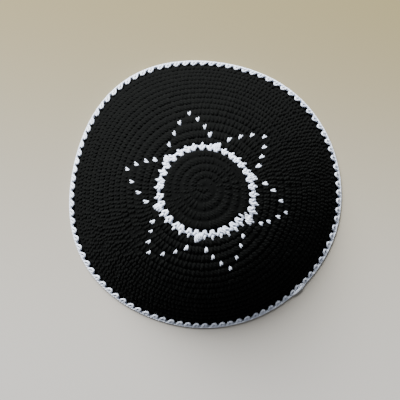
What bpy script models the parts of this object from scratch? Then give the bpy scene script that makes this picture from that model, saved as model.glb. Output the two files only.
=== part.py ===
"""A crocheted skullcap that lies on its rim.

It is one fabric, worked in rounds from the crown outwards. The yarn's colour divides it into four
pieces: a black centre disc, a white ring of one round, a wide black field that turns down over a
soft shoulder, and a white edging whose flat underside rests on the surface.

Metres, +Z up. The origin is on the resting surface, under the middle of the rim.
"""
import math

import bmesh
import bpy

# Driving sizes, in metres
RIM_WIDTH = 0.1700         # across the edging, along X
RIM_DEPTH = 0.1670         # across the edging, along Y
CAP_HEIGHT = 0.0465        # from the resting surface to the crown
FABRIC_THICKNESS = 0.0024  # of the fabric in the grooves between its rounds
RIDGE_HEIGHT = 0.0009      # how far a round of stitches stands out of the grooves
EDGE_HEIGHT = 0.0055       # of the edging, measured down the side of the cap
EDGE_STAND_OUT = 0.0008    # how far the edging stands out of the fabric on each face
PIECE_GAP = 0.0003         # between two pieces, along the fabric

# Rounds of stitches in each piece, from the crown outwards
CENTRE_ROUNDS = 5
RING_ROUNDS = 1
FIELD_ROUNDS = 15

# Steps round the cap, and the finer steps that read the side's curve
FIELD_SECTORS = 60
CENTRE_SECTORS = 30
CURVE_STEPS = 24

# The cap's side view, from the crown to the foot of the rim
PROFILE = (
    # share of the foot's radius, share of the cap's height
    (0.00, 1.000),
    (0.14, 0.990),
    (0.28, 0.948),
    (0.40, 0.886),
    (0.50, 0.808),
    (0.58, 0.717),
    (0.70, 0.545),
    (0.82, 0.340),
    (0.92, 0.138),
    (1.00, 0.000),
)

# The rim's outline seen from above: soft corners that a hand-made rim has
RIM_WAVES = (
    # waves round the rim, height as a share of the rim's radius, place of a crest in degrees
    (3, 0.0105, -5.0),
    (4, 0.0100, 34.0),
    (5, 0.0060, -16.0),
)

# One round of stitches, seen across: a groove, then a rounded ridge
ROUND_SECTION = (
    # share of the round's width, share of the ridge's height
    (0.00, 0.00),
    (0.28, 0.92),
    (0.70, 1.00),
)

# The edging, seen across, from the field down to the resting surface
EDGE_SECTION = (
    # share of the edging's height, share of its stand-out
    (0.00, 0.00),
    (0.22, 0.80),
    (0.60, 1.00),
    (1.00, 0.55),
)

# Yarns: linear colour and roughness
BLACK_YARN = ((0.0056, 0.0060, 0.0060), 0.92)
WHITE_YARN = ((0.80, 0.79, 0.83), 0.85)


def curve_through(before, start, end, after, share):
    """Return the point at a share of the way from start to end, on a smooth curve through all four."""
    return tuple(
        0.5 * (2.0 * b + (c - a) * share
               + (2.0 * a - 5.0 * b + 4.0 * c - d) * share ** 2
               + (3.0 * b - a - 3.0 * c + d) * share ** 3)
        for a, b, c, d in zip(before, start, end, after))


def side_curve(foot_radius):
    """Return the side view as fine points: distance along the fabric, radius and height."""
    spots = [(radius * foot_radius, height * CAP_HEIGHT) for radius, height in PROFILE]
    mirrored = (-spots[1][0], spots[1][1])
    beyond = tuple(2.0 * last - before for last, before in zip(spots[-1], spots[-2]))
    padded = [mirrored, *spots, beyond]
    fine = [spots[0]]
    for corners in zip(padded, padded[1:], padded[2:], padded[3:]):
        fine += [curve_through(*corners, step / CURVE_STEPS) for step in range(1, CURVE_STEPS + 1)]
    along = [(0.0, *fine[0])]
    for spot in fine[1:]:
        along.append((along[-1][0] + math.dist(along[-1][1:], spot), *spot))
    return along


def place_on(side, distance):
    """Return radius, height and downward slope at a distance along the side, also past its foot."""
    index = 1
    while index < len(side) - 1 and side[index][0] < distance:
        index += 1
    (start, radius, height), (end, next_radius, next_height) = side[index - 1], side[index]
    share = (distance - start) / (end - start)
    slope = math.atan2(height - next_height, next_radius - radius)
    return radius + share * (next_radius - radius), height + share * (next_height - height), slope


def rim_share(angle):
    """Return the rim's outline at an angle, as a share of its mean radius."""
    mean = (RIM_WIDTH + RIM_DEPTH) / 2.0
    oval = RIM_WIDTH * RIM_DEPTH / math.hypot(RIM_DEPTH * math.cos(angle), RIM_WIDTH * math.sin(angle))
    waves = sum(height * math.cos(count * (angle - math.radians(crest)))
                for count, height, crest in RIM_WAVES)
    return oval / mean + waves


def cap_point(side, distance, out, angle):
    """Return the point that stands out of the fabric's outer face by a length, at an angle round it."""
    radius, height, slope = place_on(side, distance)
    radius += out * math.sin(slope)
    share = radius / side[-1][1]
    swing = radius * (1.0 + (rim_share(angle) - 1.0) * share ** 2)
    return swing * math.cos(angle), swing * math.sin(angle), height + out * math.cos(slope)


def rounds_section(start, end, rounds):
    """Return the cross-section of some rounds: ridges on the outer face, then the smooth inner face."""
    width = (end - start) / rounds
    outer = [(start + (index + share) * width, ridge * RIDGE_HEIGHT)
             for index in range(rounds) for share, ridge in ROUND_SECTION]
    inner_steps = max(2, rounds // 2)
    inner = [(start + (end - start) * step / inner_steps, -FABRIC_THICKNESS)
             for step in range(inner_steps, -1, -1)]
    return [*outer, (end, 0.0), *inner]


def ring_of_points(mesh, side, spot, sectors):
    """Add one ring of points at a spot of the cross-section."""
    distance, out = spot
    turns = (math.tau * sector / sectors for sector in range(sectors))
    return [mesh.verts.new(cap_point(side, distance, out, turn)) for turn in turns]


def join_rings(mesh, first, second):
    """Add the faces between two rings of points."""
    for sector, corner in enumerate(first):
        last, last_below = first[sector - 1], second[sector - 1]
        mesh.faces.new((last, last_below, second[sector], corner))


def close_pole(mesh, ring, out, side, facing_up):
    """Close a ring with a fan of faces on the cap's axis."""
    pole = mesh.verts.new(cap_point(side, 0.0, out, 0.0))
    for sector, corner in enumerate(ring):
        fan = (ring[sector - 1], corner, pole)
        mesh.faces.new(fan if facing_up else fan[::-1])


def finish_piece(name, mesh, material):
    """Turn the mesh's faces outwards and make it a smooth-shaded object with one material."""
    bmesh.ops.recalc_face_normals(mesh, faces=mesh.faces)
    data = bpy.data.meshes.new(name)
    mesh.to_mesh(data)
    mesh.free()
    data.shade_smooth()
    data.set_sharp_from_angle(angle=math.radians(60.0))
    data.materials.append(material)
    piece = bpy.data.objects.new(name, data)
    bpy.context.collection.objects.link(piece)
    return piece


def make_band(name, side, section, material):
    """Make a closed band round the cap from its cross-section."""
    mesh = bmesh.new()
    rings = [ring_of_points(mesh, side, spot, FIELD_SECTORS) for spot in section]
    for index, ring in enumerate(rings):
        join_rings(mesh, rings[index - 1], ring)
    return finish_piece(name, mesh, material)


def make_disc(name, side, section, material):
    """Make the crown's disc, whose cross-section starts and ends on the cap's axis."""
    mesh = bmesh.new()
    top, bottom = section[0], section[-1]
    rings = [ring_of_points(mesh, side, spot, CENTRE_SECTORS) for spot in section[1:-1]]
    for first, second in zip(rings, rings[1:]):
        join_rings(mesh, first, second)
    close_pole(mesh, rings[0], top[1], side, facing_up=True)
    close_pole(mesh, rings[-1], bottom[1], side, facing_up=False)
    return finish_piece(name, mesh, material)


def edge_section(side, start):
    """Return the edging's cross-section, with a flat underside on the resting surface."""
    foot, foot_slope = side[-1][0], place_on(side, side[-1][0])[2]

    def face(stand_out, base):
        spots = []
        for share, bulge in EDGE_SECTION:
            out = base + stand_out * bulge
            reach = foot + out / math.tan(foot_slope)
            spots.append((start + (reach - start) * share, out))
        return spots

    outer = face(EDGE_STAND_OUT, 0.0)
    inner = face(-EDGE_STAND_OUT, -FABRIC_THICKNESS)
    return outer + inner[::-1]


def make_edge(name, side, start, material):
    """Make the edging, whose two lowest rings of points lie on the resting surface."""
    edge = make_band(name, side, edge_section(side, start), material)
    rows = len(EDGE_SECTION)
    for vertex in edge.data.vertices[(rows - 1) * FIELD_SECTORS:(rows + 1) * FIELD_SECTORS]:
        vertex.co.z = 0.0
    return edge


def make_yarn(name, yarn):
    """Make one yarn's material."""
    colour, roughness = yarn
    material = bpy.data.materials.new(name)
    material.use_nodes = True
    shader = material.node_tree.nodes["Principled BSDF"]
    shader.inputs["Base Color"].default_value = (*colour, 1.0)
    shader.inputs["Roughness"].default_value = roughness
    shader.inputs["Metallic"].default_value = 0.0
    return material


def build_cap():
    """Model the four pieces of the cap."""
    for item in list(bpy.data.objects):
        bpy.data.objects.remove(item, do_unlink=True)

    foot_radius = (RIM_WIDTH + RIM_DEPTH) / 4.0 - EDGE_STAND_OUT
    side = side_curve(foot_radius)
    edge_start = side[-1][0] - EDGE_HEIGHT
    width = edge_start / (CENTRE_ROUNDS + RING_ROUNDS + FIELD_ROUNDS)
    ring_start = CENTRE_ROUNDS * width
    field_start = (CENTRE_ROUNDS + RING_ROUNDS) * width
    half_gap = PIECE_GAP / 2.0

    # Each piece has its own yarn
    make_disc("crown_centre", side,
              rounds_section(0.0, ring_start - half_gap, CENTRE_ROUNDS),
              make_yarn("crown_centre_black_cotton", BLACK_YARN))
    make_band("ring_round", side,
              rounds_section(ring_start + half_gap, field_start - half_gap, RING_ROUNDS),
              make_yarn("ring_white_cotton", WHITE_YARN))
    make_band("crown_field", side,
              rounds_section(field_start + half_gap, edge_start - half_gap, FIELD_ROUNDS),
              make_yarn("crown_field_black_cotton", BLACK_YARN))
    make_edge("edge_round", side, edge_start + half_gap,
              make_yarn("edge_white_cotton", WHITE_YARN))


build_cap()
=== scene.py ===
"""The looks of a crocheted skullcap that lies on its rim: black and white cotton yarn, stitch by stitch.

The cap is worked in a spiral of single stitches from the crown outwards. Every stitch is laid down
here as its real strands of yarn, on the form that the frame gives: a black centre, a white ring,
a black field with a dotted six-pointed star, and a white edging round the rim.
"""
from __future__ import annotations

import logging
import math
from dataclasses import dataclass, field
from enum import Enum

import bpy
import numpy as np
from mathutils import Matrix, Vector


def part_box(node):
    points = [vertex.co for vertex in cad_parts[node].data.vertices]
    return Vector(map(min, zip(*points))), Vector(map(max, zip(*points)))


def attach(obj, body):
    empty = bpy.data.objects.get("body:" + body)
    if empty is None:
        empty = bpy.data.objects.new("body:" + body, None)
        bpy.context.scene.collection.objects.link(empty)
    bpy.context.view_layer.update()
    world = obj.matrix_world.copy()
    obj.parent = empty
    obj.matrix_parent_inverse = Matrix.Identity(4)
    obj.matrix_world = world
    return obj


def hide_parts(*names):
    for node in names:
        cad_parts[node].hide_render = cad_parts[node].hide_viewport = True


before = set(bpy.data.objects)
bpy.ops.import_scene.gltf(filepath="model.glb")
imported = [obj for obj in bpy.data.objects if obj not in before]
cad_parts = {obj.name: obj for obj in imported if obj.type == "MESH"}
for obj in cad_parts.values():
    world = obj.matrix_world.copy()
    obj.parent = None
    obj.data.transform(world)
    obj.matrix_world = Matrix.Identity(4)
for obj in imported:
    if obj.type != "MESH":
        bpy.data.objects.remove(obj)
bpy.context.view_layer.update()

LOG = logging.getLogger("skullcap")
MM = 0.001
TURN = math.tau

# The cap's side view, from the crown to the foot of the rim
SIDE_VIEW = (
    # share of the foot's radius, share of the cap's height
    (0.00, 1.000),
    (0.14, 0.990),
    (0.28, 0.948),
    (0.40, 0.886),
    (0.50, 0.808),
    (0.58, 0.717),
    (0.70, 0.545),
    (0.82, 0.340),
    (0.92, 0.138),
    (1.00, 0.000),
)

# The rim's outline seen from above
RIM_WAVES = (
    # waves round the rim, height as a share of the rim's radius, place of a crest in degrees
    (3, 0.0105, -5.0),
    (4, 0.0100, 34.0),
    (5, 0.0060, -16.0),
)

# The star's dots: white stitches on each side of a point's axis
STAR_CHART = {
    # round: stitches from the point's axis
    8: 3,
    9: 2,
    10: 1,
    11: 0,
}
STAR_POINTS = 6

# The white ring's round, and the round that holds its lumps
RING_ROUND = 6
LUMP_ROUND = 7

# The lumps' places in their round. The last one was worked a stitch early, just before the seam
LUMP_PLACES = (7, 14, 21, 28, 35, 41)

# Stitches that sit aside of their place: two that pull each other together at the seam, and one lump
NUDGES = {
    # round and place: mm farther down the side, degrees round the cap
    (RING_ROUND, -1): (0.0, 2.1),
    (LUMP_ROUND, 21): (0.2, 4.5),
    (LUMP_ROUND, 41): (-1.6, -2.0),
}

# How far the ring wanders down the side as one goes round it
RING_WAVES = (
    # waves round the ring, height in mm, place of a crest in degrees
    (1, 0.65, -80.0),
    (2, 0.78, -28.0),
    (3, 0.28, -23.0),
    (4, 0.28, -45.0),
)

# How far each round past the star leans on the one before, in stitch widths
FIELD_SLANTS = (0.45, 0.62, 0.36, 0.55, 0.70, 0.40, 0.58, 0.33, 0.66, 0.48)

# Stitches in each round, from the first
ROUND_COUNTS = (6, 12, 18, 24, 30, 36, 42, 54, 54, 54, 60, 72, 78, 84, 90, 96, 96, 96, 96, 96, 96)

# How the form is fitted to the frame: the frame's own ridge on its rounds, steps round the rim, passes
FRAME_RIDGE = 0.9 * MM
RIM_STEPS = 360
FIT_PASSES = 4


class Yarn(Enum):
    """The cap's two yarns; a value is the record's material slot."""

    BLACK = "black_yarn"
    WHITE = "white_yarn"


class Face(Enum):
    """The two faces of the fabric."""

    RIGHT = "outside of the cap"
    WRONG = "inside of the cap"


class Fineness(Enum):
    """How finely strands are swept: sides of the yarn, and steps from one point to the next."""

    SHOWN = (8, 4)
    EDGING = (8, 2)
    REPEATED = (6, 2)
    INSIDE = (6, 1)


def linear(colour: str) -> tuple[float, float, float, float]:
    """Turn an sRGB hex colour to linear values.

    Args:
        colour: six hex digits.

    Returns:
        Linear red, green, blue and an alpha of 1.
    """
    values = [int(colour[start:start + 2], 16) / 255.0 for start in (0, 2, 4)]
    curved = [v / 12.92 if v <= 0.04045 else ((v + 0.055) / 1.055) ** 2.4 for v in values]
    return (*curved, 1.0)


def add_node(tree: bpy.types.NodeTree, kind: str, settings: dict | None = None,
             inputs: dict | None = None) -> bpy.types.Node:
    """Add a node with its settings and links.

    Args:
        tree: the node tree.
        kind: the node's type.
        settings: the node's own properties.
        inputs: for each input, by name or number, a socket to link or a value to set.

    Returns:
        The new node.
    """
    node = tree.nodes.new(kind)
    for name, value in (settings or {}).items():
        setattr(node, name, value)
    for name, value in (inputs or {}).items():
        if isinstance(value, bpy.types.NodeSocket):
            tree.links.new(value, node.inputs[name])
        else:
            node.inputs[name].default_value = value
    return node


def calculate(tree: bpy.types.NodeTree, operation: str,
              *values: bpy.types.NodeSocket | float) -> bpy.types.NodeSocket:
    """Add a node that calculates with numbers.

    Args:
        tree: the node tree.
        operation: what it does, such as MULTIPLY.
        values: sockets to link or numbers to set.

    Returns:
        The socket of its result.
    """
    return add_node(tree, "ShaderNodeMath", {"operation": operation}, dict(enumerate(values))).outputs[0]


def add_object(name: str, data: bpy.types.ID) -> bpy.types.Object:
    """Add an object to the scene.

    Args:
        name: the object's name.
        data: its mesh, light or camera.

    Returns:
        The new object.
    """
    item = bpy.data.objects.new(name, data)
    bpy.context.collection.objects.link(item)
    return item


@dataclass
class CapForm:
    """The cap's form. A place on the fabric is a distance down the side, an angle and a height.

    The distance runs from the crown's middle, the angle goes round the cap, and the height stands
    out of the fabric's outer face, all in metres and radians.
    """

    width: float
    depth: float
    height: float
    rounds: int = 21
    edge_height: float = 5.5 * MM
    edge_stand_out: float = 0.8 * MM
    edge_foot_share: float = 0.55
    start_shift: tuple[float, float] = (0.2 * MM, 3.9 * MM)
    shift_rounds: float = 7.0
    curve_steps: int = 24
    past_foot: float = 20.0 * MM
    side: np.ndarray = field(init=False)

    def __post_init__(self) -> None:
        """Work out the side view as fine points: distance, radius, height and slope."""
        self.foot_radius = (self.width + self.depth) / 4.0 - self.edge_stand_out
        spots = [(radius * self.foot_radius, height * self.height) for radius, height in SIDE_VIEW]
        mirrored = (-spots[1][0], spots[1][1])
        beyond = tuple(2.0 * last - before for last, before in zip(spots[-1], spots[-2]))
        padded = np.array([mirrored, *spots, beyond])
        fine = [padded[1]]
        for a, b, c, d in zip(padded, padded[1:], padded[2:], padded[3:]):
            for step in range(1, self.curve_steps + 1):
                t = step / self.curve_steps
                fine.append(0.5 * (2.0 * b + (c - a) * t + (2.0 * a - 5.0 * b + 4.0 * c - d) * t ** 2
                                   + (3.0 * b - a - 3.0 * c + d) * t ** 3))
        fine = np.array(fine)
        run = np.diff(fine, axis=0)
        distance = np.concatenate([[0.0], np.cumsum(np.hypot(run[:, 0], run[:, 1]))])
        slope = np.arctan2(-run[:, 1], run[:, 0])
        slope = np.concatenate([[0.0], slope])
        end = fine[-1] + self.past_foot * np.array([math.cos(slope[-1]), -math.sin(slope[-1])])
        self.length = distance[-1]
        self.side = np.array([np.append(distance, distance[-1] + self.past_foot),
                              np.append(fine[:, 0], end[0]),
                              np.append(fine[:, 1], end[1]),
                              np.append(slope, slope[-1])])

    @classmethod
    def from_frame(cls) -> CapForm:
        """Fit the form to the frame's boxes.

        Returns:
            The form whose rim and crown match those boxes.
        """
        low, high = (np.array(corner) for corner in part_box("edge_round"))
        wanted = (high - low)[:2]
        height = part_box("crown_centre")[1][2] - FRAME_RIDGE
        angles = np.linspace(0.0, TURN, RIM_STEPS + 1)
        width, depth = wanted
        for _ in range(FIT_PASSES):
            form = cls(float(width), float(depth), height)
            out = form.edge_stand_out * form.edge_foot_share
            foot = form.length + out / math.tan(form.side[3][-1])
            rim = form.place(np.full(len(angles), foot), angles, np.full(len(angles), out))
            spread = rim.max(axis=0) - rim.min(axis=0)
            width, depth = width + wanted[0] - spread[0], depth + wanted[1] - spread[1]
        return form

    @property
    def edge_start(self) -> float:
        """The distance at which the black field ends and the edging begins."""
        return self.length - self.edge_height

    @property
    def pitch(self) -> float:
        """The width of one round."""
        return self.edge_start / self.rounds

    def rim_share(self, angle: np.ndarray) -> np.ndarray:
        """Read the rim's outline.

        Args:
            angle: angles round the cap.

        Returns:
            The rim's radius at each of them, as a share of its mean radius.
        """
        mean = (self.width + self.depth) / 2.0
        oval = self.width * self.depth / np.hypot(self.depth * np.cos(angle), self.width * np.sin(angle))
        waves = sum(height * np.cos(count * (angle - math.radians(crest)))
                    for count, height, crest in RIM_WAVES)
        return oval / mean + waves

    def place(self, distance: np.ndarray, angle: np.ndarray, out: np.ndarray) -> np.ndarray:
        """Turn places on the fabric into points.

        Args:
            distance: distances from the crown's middle.
            angle: angles round the cap.
            out: heights out of the fabric's outer face.

        Returns:
            One row of x, y and z for each place.
        """
        radius, height, slope = (np.interp(distance, self.side[0], row) for row in self.side[1:])
        radius = radius + out * np.sin(slope)
        share = radius / self.foot_radius
        swing = radius * (1.0 + (self.rim_share(angle) - 1.0) * share ** 2)
        fade = np.clip(1.0 - distance / (self.shift_rounds * self.pitch), 0.0, 1.0)
        return np.column_stack([swing * np.cos(angle) + self.start_shift[0] * fade,
                                swing * np.sin(angle) + self.start_shift[1] * fade,
                                height + out * np.cos(slope)])

    def radius_at(self, distance: float) -> float:
        """Return the mean radius at a distance down the side."""
        return float(np.interp(distance, self.side[0], self.side[1]))


@dataclass(frozen=True)
class CottonYarn:
    """Mercerised cotton yarn, plied and crocheted. Its lengths are in mm.

    The eye sees matt strands with a faint sheen, slanting grooves between the plies, fine tufts of
    fibre, and a tone that changes a little from strand to strand. The colour also holds painted shade:
    it is darker between the plies and lighter on them.
    """

    yarn: Yarn
    dark_tone_and_shade: str
    base: str
    lit: str
    roughness: float
    sheen: float
    plies: int = 3
    twist: float = 5.0
    ply_relief: float = 0.22
    fibre_relief: float = 0.035
    fibre_size: float = 0.45
    fibre_detail: float = 3.0
    fibre_roughness: float = 0.65
    patch_size: float = 9.0
    patch_detail: float = 2.0
    least_tone: float = -0.12
    fibre_tone: float = 0.55
    # The plies' share of the colour is painted shade, darker between the plies and lighter on them
    ply_painted_shade: float = 0.32
    strand_tone: float = 0.22
    patch_tone: float = 0.25
    tone_stops: tuple[float, float, float] = (0.12, 0.50, 0.98)
    specular_level: float = 0.01
    sheen_roughness: float = 0.45
    sheen_tint: str = "c9ccd2"

    def material(self) -> bpy.types.Material:
        """Build the yarn's material.

        Returns:
            A material with colour from fibres and strands plus painted shade between the plies, and relief
            from plies and fibres.
        """
        material = bpy.data.materials.new(f"plied_cotton_{self.yarn.name.lower()}")
        material.use_nodes = True
        tree = material.node_tree
        shader = tree.nodes["Principled BSDF"]
        ply = self.ply(tree)
        # Tufts of fibre 0.45 mm across, the finest that still show; their detail is finer
        place = add_node(tree, "ShaderNodeTexCoord").outputs["Object"]
        fibre = add_node(tree, "ShaderNodeTexNoise", inputs={
            "Vector": place, "Scale": 1.0 / (self.fibre_size * MM), "Detail": self.fibre_detail,
            "Roughness": self.fibre_roughness}).outputs[0]
        patch = add_node(tree, "ShaderNodeTexNoise", inputs={
            "Vector": place, "Scale": 1.0 / (self.patch_size * MM),
            "Detail": self.patch_detail}).outputs[0]
        strand = add_node(tree, "ShaderNodeAttribute", {"attribute_name": "strand"}).outputs["Fac"]
        # The colour mixes random tone from fibres, strands and patches with painted shade from the plies
        tone = self.least_tone
        for source, share in ((fibre, self.fibre_tone), (ply, self.ply_painted_shade), (strand, self.strand_tone),
                              (patch, self.patch_tone)):
            tone = calculate(tree, "MULTIPLY_ADD", source, share, tone)
        # The darkest colour serves both dark tone and the painted shade between the plies
        ramp = add_node(tree, "ShaderNodeValToRGB", inputs={0: tone})
        deep_stop, lit_stop = ramp.color_ramp.elements
        deep_stop.position, base_place, lit_stop.position = self.tone_stops
        deep_stop.color, lit_stop.color = linear(self.dark_tone_and_shade), linear(self.lit)
        ramp.color_ramp.elements.new(base_place).color = linear(self.base)
        relief = calculate(tree, "MULTIPLY", ply, self.ply_relief / self.fibre_relief)
        bump = add_node(tree, "ShaderNodeBump", inputs={
            "Height": calculate(tree, "ADD", relief, fibre), "Distance": self.fibre_relief * MM,
            "Strength": 1.0})
        tree.links.new(ramp.outputs[0], shader.inputs["Base Color"])
        tree.links.new(bump.outputs[0], shader.inputs["Normal"])
        shader.inputs["Roughness"].default_value = self.roughness
        shader.inputs["Specular IOR Level"].default_value = self.specular_level
        shader.inputs["Sheen Weight"].default_value = self.sheen
        shader.inputs["Sheen Roughness"].default_value = self.sheen_roughness
        shader.inputs["Sheen Tint"].default_value = linear(self.sheen_tint)
        return material

    def ply(self, tree: bpy.types.NodeTree) -> bpy.types.NodeSocket:
        """Add the slanting plies, read from the yarn's own map: round the strand, and along it in metres.

        Args:
            tree: the material's node tree.

        Returns:
            A value from 0 between two plies to 1 on one.
        """
        strand_map = add_node(tree, "ShaderNodeUVMap", {"uv_map": "UVMap"})
        parts = add_node(tree, "ShaderNodeSeparateXYZ", inputs={0: strand_map.outputs[0]})
        around, along, _ = parts.outputs
        twisted = calculate(tree, "MULTIPLY", along, self.plies / (self.twist * MM))
        phase = calculate(tree, "MULTIPLY_ADD", around, float(self.plies), twisted)
        wave = calculate(tree, "SINE", calculate(tree, "MULTIPLY", phase, TURN))
        return add_node(tree, "ShaderNodeMapRange", inputs={0: wave, 1: -1.0, 2: 1.0}).outputs[0]


@dataclass
class YarnSweep:
    """Sweeps yarn along paths with Geometry Nodes and turns the result into a plain mesh."""

    weld_distance: float = 0.002 * MM
    tree: bpy.types.NodeTree = field(init=False)

    def __post_init__(self) -> None:
        """Build the tree: paths to smooth curves, a round yarn along them, closed at its ends."""
        tree = bpy.data.node_groups.new("yarn_along_paths", "GeometryNodeTree")
        for name, kind in (("Geometry", "Geometry"), ("Yarn Radius", "Float"), ("Sides", "Int"),
                           ("Steps", "Int"), ("Material", "Material")):
            tree.interface.new_socket(name, in_out="INPUT", socket_type=f"NodeSocket{kind}")
        tree.interface.new_socket("Geometry", in_out="OUTPUT", socket_type="NodeSocketGeometry")
        given = add_node(tree, "NodeGroupInput").outputs
        curve = add_node(tree, "GeometryNodeMeshToCurve", inputs={0: given["Geometry"]})
        curve = add_node(tree, "GeometryNodeCurveSplineType", {"spline_type": "CATMULL_ROM"},
                         {0: curve.outputs[0]})
        curve = add_node(tree, "GeometryNodeSetSplineResolution",
                         inputs={0: curve.outputs[0], "Resolution": given["Steps"]})
        curve = add_node(tree, "GeometryNodeResampleCurve", {"mode": "EVALUATED"}, {0: curve.outputs[0]})
        spread = add_node(tree, "GeometryNodeSplineParameter").outputs
        along = self.capture(tree, "Along", curve.outputs[0], spread["Length"])
        ring = add_node(tree, "GeometryNodeCurveArc", {"mode": "RADIUS"}, {
            "Resolution": calculate(tree, "ADD", given["Sides"], 1.0), "Sweep Angle": TURN,
            "Radius": given["Yarn Radius"]})
        around = self.capture(tree, "Around", ring.outputs[0], spread["Factor"])
        thickness = add_node(tree, "GeometryNodeInputNamedAttribute", {"data_type": "FLOAT"},
                             {"Name": "thickness"})
        tube = add_node(tree, "GeometryNodeCurveToMesh", inputs={
            "Curve": along.outputs[0], "Profile Curve": around.outputs[0], "Scale": thickness.outputs[0]})
        both = add_node(tree, "ShaderNodeCombineXYZ", inputs={0: around.outputs[1], 1: along.outputs[1]})
        mapped = add_node(tree, "GeometryNodeStoreNamedAttribute",
                          {"data_type": "FLOAT2", "domain": "CORNER"},
                          {"Geometry": tube.outputs[0], "Name": "UVMap", "Value": both.outputs[0]})
        closed = add_node(tree, "GeometryNodeMergeByDistance", inputs={
            0: mapped.outputs[0], "Distance": self.weld_distance})
        smooth = add_node(tree, "GeometryNodeSetShadeSmooth", inputs={0: closed.outputs[0]})
        real = add_node(tree, "GeometryNodeRealizeInstances", inputs={0: smooth.outputs[0]})
        dressed = add_node(tree, "GeometryNodeSetMaterial", inputs={
            0: real.outputs[0], "Material": given["Material"]})
        add_node(tree, "NodeGroupOutput", inputs={0: dressed.outputs[0]})
        self.tree = tree

    @staticmethod
    def capture(tree: bpy.types.NodeTree, label: str, curve: bpy.types.NodeSocket,
                value: bpy.types.NodeSocket) -> bpy.types.Node:
        """Keep a value at each point of a curve.

        Args:
            tree: the node tree.
            label: what the value is called.
            curve: the curve.
            value: the value.

        Returns:
            A node whose outputs are the curve and the kept value.
        """
        node = add_node(tree, "GeometryNodeCaptureAttribute")
        node.capture_items.new("FLOAT", label)
        tree.links.new(curve, node.inputs[0])
        tree.links.new(value, node.inputs[1])
        return node

    def run(self, name: str, paths: bpy.types.Mesh, radius: float, fineness: Fineness,
            material: bpy.types.Material) -> bpy.types.Object:
        """Sweep yarn along the paths.

        Args:
            name: the finished piece's name.
            paths: a mesh of separate lines with a thickness at each point.
            radius: the yarn's radius.
            fineness: how finely it is swept.
            material: the yarn's material.

        Returns:
            The finished piece, a plain mesh at the origin.
        """
        source = add_object(f"{name}_paths", paths)
        modifier = source.modifiers.new("yarn", "NODES")
        modifier.node_group = self.tree
        sides, steps = fineness.value
        values = {"Yarn Radius": radius, "Sides": sides, "Steps": steps, "Material": material}
        for item in self.tree.interface.items_tree:
            if item.in_out == "INPUT" and item.name in values:
                modifier[item.identifier] = values[item.name]
        shape = source.evaluated_get(bpy.context.evaluated_depsgraph_get())
        mesh = bpy.data.meshes.new_from_object(shape)
        mesh.name = name
        bpy.data.objects.remove(source, do_unlink=True)
        bpy.data.meshes.remove(paths)
        return add_object(name, mesh)


@dataclass
class Strands:
    """Strands of yarn as rows of places on the fabric, gathered before they are swept."""

    form: CapForm
    floor_gap: float = 0.12 * MM
    rows: list[np.ndarray] = field(default_factory=list)
    shades: list[float] = field(default_factory=list)

    def add(self, places: np.ndarray, shade: float) -> None:
        """Add a strand.

        Args:
            places: rows of distance, angle, height and thickness share.
            shade: how light the strand is, from 0 to 1.
        """
        self.rows.append(places)
        self.shades.append(shade)

    def paths(self, name: str, radius: float) -> bpy.types.Mesh:
        """Turn the strands into lines that are thin at both ends and never below the floor.

        Args:
            name: the name of the piece that they will be.
            radius: the yarn's radius.

        Returns:
            A mesh of separate lines with the strand's thickness and shade at each point.
        """
        places = np.vstack(self.rows)
        points = self.form.place(places[:, 0], places[:, 1], places[:, 2])
        points[:, 2] = np.maximum(points[:, 2], radius * places[:, 3] + self.floor_gap)
        sizes = [len(row) for row in self.rows]
        starts = np.cumsum([0, *sizes[:-1]])
        edges = np.vstack([np.column_stack([np.arange(start, start + size - 1),
                                            np.arange(start + 1, start + size)])
                           for start, size in zip(starts, sizes)])
        thickness = places[:, 3].copy()
        thickness[starts] = 0.0
        thickness[starts + np.array(sizes) - 1] = 0.0
        mesh = bpy.data.meshes.new(f"{name}_lines")
        mesh.vertices.add(len(points))
        mesh.vertices.foreach_set("co", points.ravel())
        mesh.edges.add(len(edges))
        mesh.edges.foreach_set("vertices", edges.ravel())
        for label, values in (("thickness", thickness), ("strand", np.repeat(self.shades, sizes))):
            mesh.attributes.new(label, "FLOAT", "POINT").data.foreach_set("value", values)
        return mesh


@dataclass(frozen=True)
class Stitch:
    """One single-crochet stitch, from the hole it is worked into to its own head."""

    round_number: int
    foot_distance: float
    foot_angle: float
    head_distance: float
    head_angle: float
    width: float
    yarn: Yarn
    is_lump: bool


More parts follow.
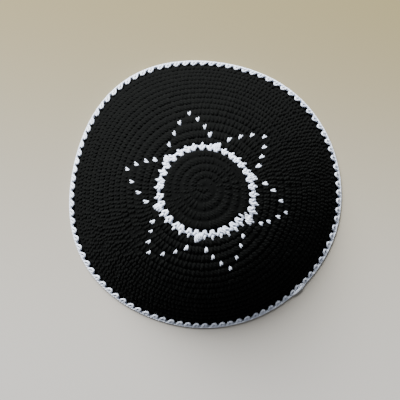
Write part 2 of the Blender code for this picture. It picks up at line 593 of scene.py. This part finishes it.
@dataclass
class CrochetPlan:
    """Where every stitch of the spiral goes, and in which yarn.

    Its angles are in degrees, and its levels, widths and shift in rounds. The seam's reach is a
    share of a turn.
    """

    form: CapForm
    axis_angle: float = 44.8
    axis_round: int = 11
    axis_drift: float = 1.15
    ring_offset: float = 6.2
    seam_angle: float = -35.0
    spiral_rounds: int = 9
    crowding: float = 4.5
    crowded_side: float = 20.0
    wander_width: float = 1.4
    tight_level: float = 7.8
    tight_width: float = 1.3
    tight_shift: float = -0.22
    seam_drop: float = 1.10 * MM
    seam_reach: float = 0.10
    start_hole: float = 1.1 * MM
    parent_pull: float = 0.35
    stitches: list[list[Stitch]] = field(default_factory=list)

    def __post_init__(self) -> None:
        """Lay out all rounds, each stitch in a stitch of the round before."""
        for round_number in range(1, self.form.rounds + 1):
            self.stitches.append(self.one_round(round_number))

    def count(self, round_number: int) -> int:
        """Return how many stitches a round has."""
        return ROUND_COUNTS[round_number - 1]

    def axis(self, round_number: int) -> float:
        """Follow a star point's axis, which drifts with the slant of the stitches.

        Args:
            round_number: the round, from 1 at the crown.

        Returns:
            The axis's angle in that round.
        """
        drift = self.axis_drift * (self.axis_round - min(round_number, self.axis_round))
        beyond = sum(slant * 360.0 / self.count(later)
                     for later, slant in zip(range(self.axis_round + 1, round_number + 1), FIELD_SLANTS))
        return math.radians(self.axis_angle + drift - beyond)

    def grid(self, round_number: int) -> tuple[float, float]:
        """Divide a round into stitches.

        Args:
            round_number: the round, from 1 at the crown.

        Returns:
            The angle at which the round starts, and the angle that one stitch takes.
        """
        step = TURN / self.count(round_number)
        anchor = self.axis(round_number)
        if round_number == RING_ROUND:
            anchor += math.radians(self.ring_offset)
        if round_number == LUMP_ROUND:
            anchor += TURN / STAR_POINTS / 2.0
        boundary = anchor + step / 2.0
        seam = math.radians(self.seam_angle)
        return boundary - round((boundary - seam) / step) * step, step

    def warp(self, angle: float, level: float) -> float:
        """Crowd the stitches a little towards one side, less so near the rim.

        Args:
            angle: an angle round the cap.
            level: rounds worked.

        Returns:
            The angle where that place of the round really lies.
        """
        fade = max(0.0, min(1.0, (self.form.rounds - level) / (self.form.rounds - self.axis_round)))
        most = fade * math.radians(self.crowding)
        return angle - most * math.sin(angle - math.radians(self.crowded_side))

    def distance(self, level: float, progress: float) -> float:
        """Return how far down the side a level of the spiral lies.

        Args:
            level: rounds worked, whole at the heads of a round.
            progress: share of the turn from the seam, clockwise.

        Returns:
            The distance from the crown's middle.
        """
        rest = self.form.rounds - self.spiral_rounds
        spiral = max(0.0, min(1.0, level, (self.form.rounds - level) / rest))
        tight = self.tight_shift * math.exp(-((level - self.tight_level) / self.tight_width) ** 2)
        angle = math.radians(self.seam_angle) - progress * TURN
        near_ring = math.exp(-((level - RING_ROUND) / self.wander_width) ** 2)
        wander = MM * sum(height * math.cos(count * (angle - math.radians(crest)))
                          for count, height, crest in RING_WAVES)
        drop = self.seam_drop * math.exp(-(max(progress, 0.0) / self.seam_reach) ** 2)
        return (level + spiral * (progress - 0.5) + tight) * self.form.pitch + near_ring * (wander + drop)

    def head(self, round_number: int, place: int) -> tuple[float, float]:
        """Place a stitch's head.

        Args:
            round_number: the stitch's round.
            place: the stitch's place in it, from 0 at the seam.

        Returns:
            The head's distance and angle.
        """
        start, step = self.grid(round_number)
        progress = (place + 0.5) / self.count(round_number)
        angle = self.warp(start - (place + 0.5) * step, round_number)
        return self.distance(round_number, progress), angle

    def is_white(self, round_number: int, place: int) -> bool:
        """Choose the yarn of a stitch.

        Args:
            round_number: the stitch's round.
            place: the stitch's place in it, from 0 at the seam.

        Returns:
            Whether it is worked in white.
        """
        if round_number == RING_ROUND:
            return True
        if round_number == LUMP_ROUND:
            return place in LUMP_PLACES
        if round_number not in STAR_CHART:
            return False
        start, step = self.grid(round_number)
        sector = TURN / STAR_POINTS
        turned = start - (place + 0.5) * step - self.axis(round_number)
        away = (turned + sector / 2.0) % sector - sector / 2.0
        return abs(abs(away) - STAR_CHART[round_number] * step) < step / 4.0

    def foot(self, round_number: int, place: int, head_angle: float) -> tuple[float, float]:
        """Find the stitch of the round before that a stitch is worked into.

        Args:
            round_number: the stitch's round.
            place: the stitch's place in it, from 0 at the seam.
            head_angle: the angle of the stitch's own head.

        Returns:
            The distance of that parent's head, and how far round the cap it lies from the own head.
        """
        start, step = self.grid(round_number)
        parent_start, parent_step = self.grid(round_number - 1)
        own = start - (place + 0.5) * step
        parent = round((parent_start - own) / parent_step - 0.5)
        parent = min(max(parent, 0), self.count(round_number - 1) - 1)
        distance, angle = self.head(round_number - 1, parent)
        return distance, (angle - head_angle + math.pi) % TURN - math.pi

    def one_round(self, round_number: int) -> list[Stitch]:
        """Lay out one round.

        Args:
            round_number: the round, from 1 at the crown.

        Returns:
            Its stitches in order.
        """
        count = self.count(round_number)
        stitches = []
        # The yarn changes a stitch early, so the last stitch before the ring's round is white
        first = -1 if round_number == RING_ROUND else 0
        end = count - 1 if round_number == RING_ROUND - 1 else count
        for place in range(first, end):
            head_distance, head_angle = self.head(round_number, place)
            foot_distance, away = self.start_hole, 0.0
            if round_number > 1:
                foot_distance, away = self.foot(round_number, place, head_angle)
            down, turned = NUDGES.get((round_number, place), (0.0, 0.0))
            foot_distance, head_distance = foot_distance + down * MM, head_distance + down * MM
            head_angle += math.radians(turned)
            foot_angle = head_angle + self.parent_pull * away
            yarn = Yarn.WHITE if self.is_white(round_number, place) else Yarn.BLACK
            is_lump = yarn is Yarn.WHITE and round_number == LUMP_ROUND
            stitches.append(Stitch(round_number, foot_distance, foot_angle, head_distance, head_angle,
                                   TURN / count, yarn, is_lump))
        return stitches


# The strands of one stitch on the right side. The first leg is the short one
SHORT_LEG = (
    # share of the way from foot to head, sideways in stitch widths, height in mm, thickness
    (-0.08, 0.17, -1.20, 0.90),
    (0.14, 0.20, -0.06, 1.20),
    (0.44, 0.26, 0.12, 1.34),
    (0.74, 0.31, -0.06, 1.20),
    (0.97, 0.34, -1.20, 0.90),
)
LONG_LEG = (
    (-0.08, -0.15, -1.20, 0.90),
    (0.14, -0.19, -0.04, 1.20),
    (0.50, -0.26, 0.16, 1.36),
    (0.82, -0.32, 0.00, 1.18),
    (1.05, -0.36, -1.20, 0.85),
)
HEAD_LOOP = (
    (0.84, 0.56, -1.40, 0.80),
    (0.96, 0.30, -0.66, 0.95),
    (1.00, -0.05, -0.52, 1.00),
    (0.96, -0.36, -0.66, 0.95),
    (0.84, -0.56, -1.40, 0.80),
)

# A single white stitch among black ones, drawn in small
DOT_SHORT_LEG = (
    (0.02, 0.00, -1.20, 0.55),
    (0.15, 0.02, 0.10, 0.62),
    (0.31, 0.07, 0.74, 0.70),
    (0.46, 0.12, 0.74, 0.70),
    (0.60, 0.15, 0.20, 0.58),
    (0.68, 0.16, -1.20, 0.45),
)
DOT_LONG_LEG = (
    (0.02, 0.00, -1.20, 0.55),
    (0.14, -0.02, 0.15, 0.64),
    (0.33, -0.07, 0.80, 0.72),
    (0.54, -0.12, 0.80, 0.70),
    (0.71, -0.15, 0.25, 0.54),
    (0.80, -0.17, -1.20, 0.40),
)

# How much smaller than those next to the ring the star's other dots are
SMALL_DOT = (0.92, 0.90, 0.97, 0.80)

# A stitch of the white ring: a round foot, a wide waist and one spike between two black stitches
RING_SHORT_LEG = (
    (-0.10, 0.04, -1.10, 0.70),
    (0.05, 0.06, -0.10, 0.88),
    (0.27, 0.12, 0.35, 0.98),
    (0.50, 0.23, 0.30, 0.98),
    (0.66, 0.38, -0.25, 0.85),
    (0.74, 0.50, -1.20, 0.60),
)
RING_LONG_LEG = (
    (-0.10, -0.04, -1.10, 0.70),
    (0.05, -0.07, -0.10, 0.88),
    (0.29, -0.13, 0.38, 1.00),
    (0.54, -0.25, 0.32, 1.00),
    (0.70, -0.40, -0.25, 0.85),
    (0.78, -0.52, -1.20, 0.60),
)
RING_SPIKE = (
    (0.44, 0.02, -0.60, 0.90),
    (0.68, 0.00, 0.30, 1.00),
    (0.94, -0.02, 0.42, 0.84),
    (1.17, -0.03, 0.28, 0.56),
    (1.34, -0.03, -0.60, 0.28),
)
RING_WAIST = (
    (0.64, 0.64, -1.80, 0.60),
    (0.64, 0.46, -0.55, 0.90),
    (0.64, 0.28, -0.20, 0.94),
    (0.66, 0.02, -0.10, 0.96),
    (0.66, -0.34, -0.20, 0.94),
    (0.62, -0.68, -0.80, 0.85),
)

# A lump on the ring: four strands side by side, whose ends rise like a roof
LUMP_STRANDS = (
    (
        (-0.75, 0.26, -0.70, 0.80),
        (-0.45, 0.32, 0.35, 0.95),
        (-0.18, 0.36, 0.40, 0.95),
        (0.06, 0.39, -0.30, 0.85),
        (0.16, 0.40, -1.40, 0.60),
    ),
    (
        (-0.75, 0.08, -0.60, 0.80),
        (-0.45, 0.12, 0.55, 1.00),
        (-0.08, 0.15, 0.65, 1.00),
        (0.22, 0.17, 0.10, 0.85),
        (0.40, 0.18, -1.40, 0.60),
    ),
    (
        (-0.75, -0.08, -0.60, 0.80),
        (-0.42, -0.08, 0.60, 1.00),
        (0.02, -0.08, 0.75, 1.00),
        (0.38, -0.09, 0.20, 0.85),
        (0.56, -0.10, -1.40, 0.60),
    ),
    (
        (-0.65, -0.24, -0.70, 0.80),
        (-0.32, -0.28, 0.45, 1.00),
        (0.14, -0.31, 0.60, 1.00),
        (0.50, -0.34, 0.15, 0.85),
        (0.70, -0.36, -1.40, 0.60),
    ),
)

# The strands of one stitch on the wrong side
BACK_BAR = (
    (0.92, 0.58, -1.60, 0.85),
    (0.98, 0.36, -2.05, 0.95),
    (1.00, 0.00, -2.30, 1.00),
    (0.98, -0.36, -2.05, 0.95),
    (0.92, -0.58, -1.60, 0.85),
)
BACK_LEG = (
    (0.10, 0.34, -1.60, 0.85),
    (0.26, 0.22, -1.95, 0.95),
    (0.52, -0.02, -2.10, 1.00),
    (0.74, -0.20, -1.90, 0.90),
    (0.86, -0.28, -1.60, 0.80),
)


@dataclass
class StitchWork:
    """Lays the strands of stitches, with the small unevenness of hand work.

    The jitter of angles is in stitch widths.
    """

    form: CapForm
    seed: int = 7
    angle_jitter: float = 0.05
    height_jitter: float = 0.09 * MM
    thickness_jitter: float = 0.06
    least_radius: float = 0.6 * MM

    def __post_init__(self) -> None:
        """Start the fixed random numbers."""
        self.random = np.random.default_rng(self.seed)

    def lay(self, strands: Strands, stitch: Stitch, tables: tuple) -> None:
        """Lay some strands of one stitch.

        Args:
            strands: where they are gathered.
            stitch: the stitch.
            tables: the strands' tables.
        """
        lift = self.random.normal(0.0, self.height_jitter)
        aside = self.random.normal(0.0, self.angle_jitter) * stitch.width
        thickness = 1.0 + self.random.normal(0.0, self.thickness_jitter)
        for table in tables:
            along, sideways, out, size = np.array(table).T
            distance = stitch.foot_distance + along * (stitch.head_distance - stitch.foot_distance)
            blend = np.clip(along, 0.0, 1.0)
            angle = stitch.foot_angle + blend * (stitch.head_angle - stitch.foot_angle)
            radius = np.maximum([self.form.radius_at(value) for value in distance], self.least_radius)
            full = self.form.radius_at(stitch.head_distance)
            reach = sideways * stitch.width * full / radius
            places = np.column_stack([distance, angle + reach + aside, out * MM + lift, size * thickness])
            strands.add(places, float(self.random.random()))


@dataclass
class Ground:
    """The body of the fabric behind its stitches: a thin closed band or disc with a ridge per round."""

    form: CapForm
    plan: CrochetPlan
    groove: float = -0.10 * MM
    ridge: float = 0.92 * MM
    centre_groove: float = 0.45 * MM
    centre_ridge: float = 1.05 * MM
    under_ring: float = -0.60 * MM
    inner: float = -1.75 * MM
    sectors: int = 240
    steps_per_round: int = 6
    level_step: float = 0.1
    levels_past: float = 2.0
    arch_power: float = 0.8
    floor_gap: float = 0.1 * MM

    def __post_init__(self) -> None:
        """Measure how far down the side the spiral's levels lie, in every sector."""
        self.progress = (np.arange(self.sectors) + 0.5) / self.sectors
        self.levels = np.arange(0.0, self.form.rounds + self.levels_past, self.level_step)
        self.distances = [[self.plan.distance(level, share) for level in self.levels]
                          for share in self.progress]

    def height(self, level: np.ndarray) -> np.ndarray:
        """Shape the outer face.

        Args:
            level: some levels of the spiral.

        Returns:
            The outer face's height at each of them.
        """
        arch = np.sin(math.pi * (level % 1.0))
        in_centre = level < RING_ROUND - 1
        low = np.where(in_centre, self.centre_groove, self.groove)
        high = np.where(in_centre, self.centre_ridge, self.ridge)
        ridged = low + (high - low) * arch ** self.arch_power
        sunken = low + (self.under_ring - low) * arch
        below_ring = (level > RING_ROUND - 1) & (level < RING_ROUND)
        return np.where(below_ring | (level > self.form.rounds), sunken, ridged)

    def row(self, level: float, out: float | None = None) -> np.ndarray:
        """Lay one row of points round the cap.

        Args:
            level: the row's mean level of the spiral.
            out: its height, or nothing for the outer face's own.

        Returns:
            The row's points.
        """
        distance = level * self.form.pitch
        seam = math.radians(self.plan.seam_angle)
        angle = np.array([self.plan.warp(seam - share * TURN, level) for share in self.progress])
        if out is None:
            levels = np.array([np.interp(distance, marks, self.levels) for marks in self.distances])
            heights = self.height(levels)
        else:
            heights = np.full(self.sectors, out)
        return self.form.place(np.full(self.sectors, distance), angle, heights)

    def faces(self, rows: int, is_disc: bool) -> list[tuple[int, ...]]:
        """Join rows of points by faces.

        Args:
            rows: how many rows there are.
            is_disc: whether the first and the last row close at poles, not with one another.

        Returns:
            Numbers of points for each face. The upper and the lower pole come after the rows.
        """
        faces = []
        for row in range(rows - 1 if is_disc else rows):
            here, there = row * self.sectors, (row + 1) % rows * self.sectors
            for sector in range(self.sectors):
                after = (sector + 1) % self.sectors
                faces.append((here + after, there + after, there + sector, here + sector))
        if is_disc:
            last, top, bottom = (rows - 1) * self.sectors, rows * self.sectors, rows * self.sectors + 1
            for sector in range(self.sectors):
                after = (sector + 1) % self.sectors
                faces.append((top, after, sector))
                faces.append((bottom, last + sector, last + after))
        return faces

    def build(self, name: str, start: float, end: float, material: bpy.types.Material) -> bpy.types.Object:
        """Build a band of the ground, or a disc if it starts at level 0.

        Args:
            name: the finished piece's name.
            start: the level at its inner edge.
            end: the level at its outer edge.
            material: the yarn's material.

        Returns:
            The finished piece.
        """
        outer_steps = max(2, round((end - start) * self.steps_per_round))
        inner_steps = max(2, round(end - start))
        outer = [(level, None) for level in np.linspace(start, end, outer_steps + 1)]
        inner = [(level, self.inner) for level in np.linspace(end, start, inner_steps + 1)]
        is_disc = start == 0.0
        section = (outer + inner)[1:-1] if is_disc else outer + inner
        points = np.vstack([self.row(level, out) for level, out in section])
        if is_disc:
            poles = self.form.place(np.zeros(2), np.zeros(2), np.array([self.centre_groove, self.inner]))
            points = np.vstack([points, poles])
        points[:, 2] = np.maximum(points[:, 2], self.floor_gap)
        mesh = bpy.data.meshes.new(name)
        mesh.from_pydata(points.tolist(), [], self.faces(len(section), is_disc))
        mesh.shade_smooth()
        mesh.materials.append(material)
        return add_object(name, mesh)


# The place where the edging was joined, in degrees: two crowded loops, a thick strand along the rim
# and a knot
JOIN_ANGLE = -44.3
JOIN_LOOPS = (
    # degrees from the join, mm farther down
    (-0.9, -0.5),
    (0.7, 0.9),
)
JOIN_STRANDS = (
    (
        # mm down from the field's end, degrees from the join, height in mm, thickness
        (4.40, -5.60, 0.40, 0.80),
        (4.20, -3.80, 1.20, 1.20),
        (3.70, -1.60, 1.60, 1.40),
        (3.30, 0.40, 1.55, 1.35),
        (3.10, 2.00, 1.00, 1.05),
        (3.20, 3.00, 0.10, 0.80),
    ),
    (
        (4.20, -4.20, 0.40, 0.80),
        (4.50, -2.60, 0.90, 1.05),
        (4.80, -0.60, 1.10, 1.25),
        (4.75, 1.00, 1.10, 1.15),
        (4.55, 2.60, 0.95, 0.95),
        (4.40, 4.00, 0.60, 0.70),
    ),
    (
        (3.70, 0.20, 1.00, 0.80),
        (4.15, 0.50, 1.75, 0.95),
        (4.60, 0.60, 1.40, 0.90),
        (4.70, 1.00, 0.30, 0.60),
    ),
)

# The edging's strands. A loop rises from the cord on its sloping side and curls round on its steep side
EDGE_LOOP = (
    # mm down from the field's end, sideways in loop widths, height in mm, thickness
    (5.00, -0.56, -0.20, 0.85),
    (4.35, -0.40, 0.50, 1.00),
    (3.30, -0.29, 0.90, 1.00),
    (2.10, -0.22, 1.00, 1.00),
    (1.10, -0.09, 1.05, 1.00),
    (0.80, 0.08, 1.05, 1.00),
    (1.35, 0.20, 1.00, 1.00),
    (2.40, 0.21, 0.95, 1.00),
    (3.30, 0.10, 0.85, 1.00),
    (3.95, -0.06, 0.70, 0.95),
    (4.40, -0.20, 0.20, 0.85),
)
EDGE_CORD = (
    # the same for one loop's width of the unbroken cord
    (4.55, 0.30, 0.80, 0.92),
    (4.65, 0.00, 0.86, 0.88),
    (4.50, -0.30, 0.80, 1.02),
)
EDGE_UNDER = (
    (4.70, 0.66, -0.60, 0.90),
    (4.80, 0.30, 0.00, 1.05),
    (4.80, -0.30, 0.00, 1.05),
    (4.70, -0.66, -0.60, 0.90),
)
EDGE_BACK = (
    (0.60, 0.36, -1.20, 0.90),
    (1.10, 0.28, -2.20, 1.15),
    (2.10, 0.08, -2.50, 1.30),
    (3.20, -0.14, -2.10, 1.30),
    (4.00, -0.40, -1.20, 1.10),
)


@dataclass
class Edging:
    """The white edging: a skewed loop over each stitch's place, and a cord along the rim.

    The first loop's place and the cord's overlap are in degrees, the jitter of angles in loop widths.
    """

    form: CapForm
    loops: int = 96
    first_loop: float = 0.55
    yarn_radius: float = 0.63 * MM
    angle_jitter: float = 0.04
    height_jitter: float = 0.08 * MM
    cord_overlap: float = 2.0
    cord_shade: float = 0.7
    join_shade: float = 0.9
    seed: int = 11

    def __post_init__(self) -> None:
        """Start the fixed random numbers."""
        self.random = np.random.default_rng(self.seed)

    def lay(self, strands: Strands, angle: float, table: tuple, lower: float = 0.0) -> None:
        """Lay one strand of the edging.

        Args:
            strands: where it is gathered.
            angle: the strand's place round the rim.
            table: the strand's table.
            lower: mm farther down the side.
        """
        step = TURN / self.loops
        down, sideways, out, size = np.array(table).T
        swing = self.random.normal(0.0, self.angle_jitter) * step
        lift = self.random.normal(0.0, self.height_jitter)
        places = np.column_stack([self.form.edge_start + (down + lower) * MM,
                                  angle + sideways * step + swing, out * MM + lift, size])
        strands.add(places, float(self.random.random()))

    def places(self) -> list[float]:
        """Return the angles of all the loops' places, from the first."""
        return [math.radians(self.first_loop) + index * TURN / self.loops for index in range(self.loops)]

    def cord(self, strands: Strands) -> None:
        """Lay the cord, one strand right round the rim whose ends meet under the join.

        Args:
            strands: where it is gathered.
        """
        step = TURN / self.loops
        down, sideways, out, size = np.array(EDGE_CORD).T
        rows = []
        for place in range(self.loops + 1):
            angle = math.radians(JOIN_ANGLE + self.cord_overlap) - place * step
            wander = self.random.normal(0.0, self.height_jitter / 2.0, len(down))
            rows.append(np.column_stack([self.form.edge_start + down * MM + wander,
                                         angle + sideways * step, out * MM, size]))
        strands.add(np.vstack(rows), self.cord_shade)

    def join(self, strands: Strands) -> None:
        """Lay the join's thick strands, whose tables hold degrees from the join.

        Args:
            strands: where they are gathered.
        """
        for table in JOIN_STRANDS:
            down, sideways, out, size = np.array(table).T
            places = np.column_stack([self.form.edge_start + down * MM,
                                      np.radians(JOIN_ANGLE + sideways), out * MM, size])
            strands.add(places, self.join_shade)


@dataclass
class Skullcap:
    """The whole cap."""

    form: CapForm = field(default_factory=CapForm.from_frame)
    yarn_radius: float = 0.86 * MM
    pieces: list[bpy.types.Object] = field(default_factory=list)

    def __post_init__(self) -> None:
        """Prepare the plan, the tools and the yarns' materials."""
        self.plan = CrochetPlan(self.form)
        self.work = StitchWork(self.form)
        self.sweep = YarnSweep()
        self.finish = {
            # Each yarn's first and darkest colour is dark tone and painted shade between the plies
            Yarn.BLACK: CottonYarn(Yarn.BLACK, "080809", "0b0c0c", "0f1010", 0.95, 0.010).material(),
            Yarn.WHITE: CottonYarn(Yarn.WHITE, "8b94ac", "cfd8ec", "e7eefc", 0.85, 0.06).material(),
        }

    def stitch_piece(self, name: str, stitches: list[Stitch], face: Face, yarn: Yarn) -> bpy.types.Object:
        """Make one piece from the strands of some stitches on one face.

        Args:
            name: the piece's name.
            stitches: the stitches.
            face: the fabric's face.
            yarn: the yarn of all of them.

        Returns:
            The finished piece.
        """
        strands = Strands(self.form)
        for stitch in stitches:
            self.work.lay(strands, stitch, self.tables(stitch, face))
        if face is Face.WRONG:
            fineness = Fineness.INSIDE
        else:
            fineness = Fineness.SHOWN if yarn is Yarn.WHITE else Fineness.REPEATED
        return self.keep(name, strands, self.yarn_radius, yarn, fineness)

    def tables(self, stitch: Stitch, face: Face) -> tuple:
        """Choose the strands that a stitch shows on one face.

        Args:
            stitch: the stitch.
            face: the fabric's face.

        Returns:
            The strands' tables.
        """
        if face is Face.WRONG:
            return BACK_BAR, BACK_LEG
        if stitch.is_lump:
            return LUMP_STRANDS
        if stitch.round_number == RING_ROUND:
            return RING_SHORT_LEG, RING_LONG_LEG, RING_SPIKE, RING_WAIST
        if stitch.yarn is Yarn.BLACK:
            return SHORT_LEG, LONG_LEG, HEAD_LOOP
        if stitch.round_number == LUMP_ROUND + 1:
            return DOT_SHORT_LEG, DOT_LONG_LEG
        return tuple(np.array(table) * SMALL_DOT for table in (DOT_SHORT_LEG, DOT_LONG_LEG))

    def keep(self, name: str, strands: Strands, radius: float, yarn: Yarn,
             fineness: Fineness) -> bpy.types.Object:
        """Sweep strands to a finished piece.

        Args:
            name: the piece's name.
            strands: its strands.
            radius: the yarn's radius.
            yarn: the yarn.
            fineness: how finely it is swept.

        Returns:
            The finished piece.
        """
        return self.sweep.run(name, strands.paths(name, radius), radius, fineness, self.finish[yarn])

    def report(self, piece: bpy.types.Object, node: str) -> None:
        """Fasten a piece to the cap's body, hide the CAD node that it replaces, and log its triangles.

        Args:
            piece: the finished piece.
            node: the CAD node that it replaces.
        """
        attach(piece, "root")
        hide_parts(node)
        piece.data.calc_loop_triangles()
        LOG.info("%s: %d triangles", piece.name, len(piece.data.loop_triangles))
        self.pieces.append(piece)

    def rounds(self, first: int, last: int, yarn: Yarn) -> list[Stitch]:
        """Return the stitches of the rounds from a first to a last one in one yarn."""
        rows = self.plan.stitches[first - 1:last]
        return [stitch for row in rows for stitch in row if stitch.yarn is yarn]

    def build_fabric(self) -> None:
        """Build the stitches of the crown and the field on both faces, and the ground behind them."""
        zones = (
            # name, first round, last round, yarn, node
            ("crown_centre", 1, 5, Yarn.BLACK, "crown_centre"),
            ("ring", RING_ROUND, RING_ROUND, Yarn.WHITE, "ring_round"),
            ("star_lumps", LUMP_ROUND, LUMP_ROUND, Yarn.WHITE, "crown_field"),
            ("star_dots", 8, 11, Yarn.WHITE, "crown_field"),
            ("field_upper", 7, 12, Yarn.BLACK, "crown_field"),
            ("field_middle", 13, 17, Yarn.BLACK, "crown_field"),
            ("field_lower", 18, 21, Yarn.BLACK, "crown_field"),
        )
        for name, first, last, yarn, node in zones:
            stitches = self.rounds(first, last, yarn)
            for face, ending in ((Face.RIGHT, "stitches"), (Face.WRONG, "wrong_side")):
                piece = self.stitch_piece(f"{name}_{ending}", stitches, face, yarn)
                self.report(piece, node)
        # The two grounds meet under the ring, and the field's one ends under the edging
        ground = Ground(self.form, self.plan)
        bands = (
            # name, level at the inner edge, level at the outer edge, yarn, node
            ("crown_centre_ground", 0.0, 5.5, Yarn.BLACK, "crown_centre"),
            ("field_ground", 5.5, 22.08, Yarn.BLACK, "crown_field"),
        )
        for name, start, end, yarn, node in bands:
            self.report(ground.build(name, start, end, self.finish[yarn]), node)

    def build_edging(self) -> None:
        """Build the white edging."""
        edging = Edging(self.form)
        join = math.radians(JOIN_ANGLE)
        near = TURN / edging.loops / 2.0
        loops = Strands(self.form)
        for angle in edging.places():
            if abs((angle - join + math.pi) % TURN - math.pi) > near:
                edging.lay(loops, angle, EDGE_LOOP)
        for degrees, lower in JOIN_LOOPS:
            edging.lay(loops, join + math.radians(degrees), EDGE_LOOP, lower)
        cord, back, knot = Strands(self.form), Strands(self.form), Strands(self.form)
        edging.cord(cord)
        for angle in edging.places():
            edging.lay(cord, angle, EDGE_UNDER)
            edging.lay(back, angle, EDGE_BACK)
        edging.join(knot)
        for name, strands in (("edging_loops", loops), ("edging_cord", cord), ("edging_join", knot),
                              ("edging_wrong_side", back)):
            piece = self.keep(name, strands, edging.yarn_radius, Yarn.WHITE, Fineness.EDGING)
            self.report(piece, "edge_round")


@dataclass(frozen=True)
class BoardWithPaintedLight:
    """A matt board whose colour fades from grey near the viewer to a darker brown far off. The fade is
    painted light, standing in for how the light falls across the floor.
    """

    near: str = "9a9896"
    far: str = "716846"
    fade_length: float = 0.15
    fade_across: float = 0.08
    roughness: float = 0.8

    def material(self) -> bpy.types.Material:
        """Build the paint's material.

        Returns:
            A matt material whose colour changes slowly along Y, and a little along X.
        """
        material = bpy.data.materials.new("board_with_painted_light")
        material.use_nodes = True
        tree = material.node_tree
        shader = tree.nodes["Principled BSDF"]
        place = add_node(tree, "ShaderNodeTexCoord")
        parts = add_node(tree, "ShaderNodeSeparateXYZ", inputs={0: place.outputs["Object"]})
        # The fade is painted light: lighter near the viewer, darker and browner far off
        across = calculate(tree, "MULTIPLY_ADD", parts.outputs[0], self.fade_across, parts.outputs[1])
        share = add_node(tree, "ShaderNodeMapRange", {"interpolation_type": "SMOOTHSTEP"}, {
            "Value": across, "From Min": -self.fade_length, "From Max": self.fade_length})
        # Inputs 6 and 7 and output 2 of the mix are its colours
        colour = add_node(tree, "ShaderNodeMix", {"data_type": "RGBA"}, {
            "Factor": share.outputs[0], 6: linear(self.near), 7: linear(self.far)})
        tree.links.new(colour.outputs[2], shader.inputs["Base Color"])
        shader.inputs["Roughness"].default_value = self.roughness
        return material


@dataclass
class Studio:
    """A pale floor, soft light and the camera straight above."""

    camera_height: float = 0.320
    view_width: float = 0.2483
    picture: float = 400.0
    cap_place: tuple[float, float] = (204.0, 194.0)
    board: BoardWithPaintedLight = BoardWithPaintedLight()
    floor_half: float = 1.5
    sky_colour: str = "e9e9ea"
    sky_strength: float = 0.39
    window_place: tuple[float, float, float] = (-0.90, 1.90, 1.38)
    window_size: float = 1.60
    window_power: float = 400.0
    window_colour: str = "fffefa"

    def build(self) -> None:
        """Build the floor, the lights and the camera."""
        self.floor()
        self.lights()
        self.camera()

    def floor(self) -> None:
        """Build the floor, one flat board."""
        half = self.floor_half
        mesh = bpy.data.meshes.new("floor")
        corners = ((-half, -half, 0.0), (half, -half, 0.0), (half, half, 0.0), (-half, half, 0.0))
        mesh.from_pydata(corners, [], [(0, 1, 2, 3)])
        mesh.materials.append(self.board.material())
        floor = add_object("floor", mesh)

    def lights(self) -> None:
        """Set a soft window light from the upper left, and a pale sky."""
        world = bpy.data.worlds.new("pale_sky")
        bpy.context.scene.world = world
        world.use_nodes = True
        sky = world.node_tree.nodes["Background"]
        sky.inputs["Color"].default_value = linear(self.sky_colour)
        sky.inputs["Strength"].default_value = self.sky_strength
        lamp = bpy.data.lights.new("window", "AREA")
        lamp.size = self.window_size
        lamp.energy = self.window_power
        lamp.color = linear(self.window_colour)[:3]
        light = add_object("window", lamp)
        light.location = self.window_place
        direction = -np.array(self.window_place)
        light.rotation_euler = (math.atan2(math.hypot(*direction[:2]), -direction[2]), 0.0,
                                math.atan2(direction[1], direction[0]) - math.pi / 2.0)

    def camera(self) -> None:
        """Set the camera straight above the cap, shifted so that the cap lies where the photo has it."""
        lens = bpy.data.cameras.new("camera")
        lens.sensor_fit = "HORIZONTAL"
        lens.angle = 2.0 * math.atan(self.view_width / 2.0 / self.camera_height)
        lens.shift_x = (self.picture / 2.0 - self.cap_place[0]) / self.picture
        lens.shift_y = (self.cap_place[1] - self.picture / 2.0) / self.picture
        camera = add_object("camera", lens)
        camera.location = (0.0, 0.0, self.camera_height)
        bpy.context.scene.camera = camera


def main() -> None:
    """Build the cap and the studio in order."""
    logging.basicConfig(level=logging.INFO, format="%(message)s")
    cap = Skullcap()
    cap.build_fabric()
    cap.build_edging()
    Studio().build()


if __name__ == "__main__":
    main()
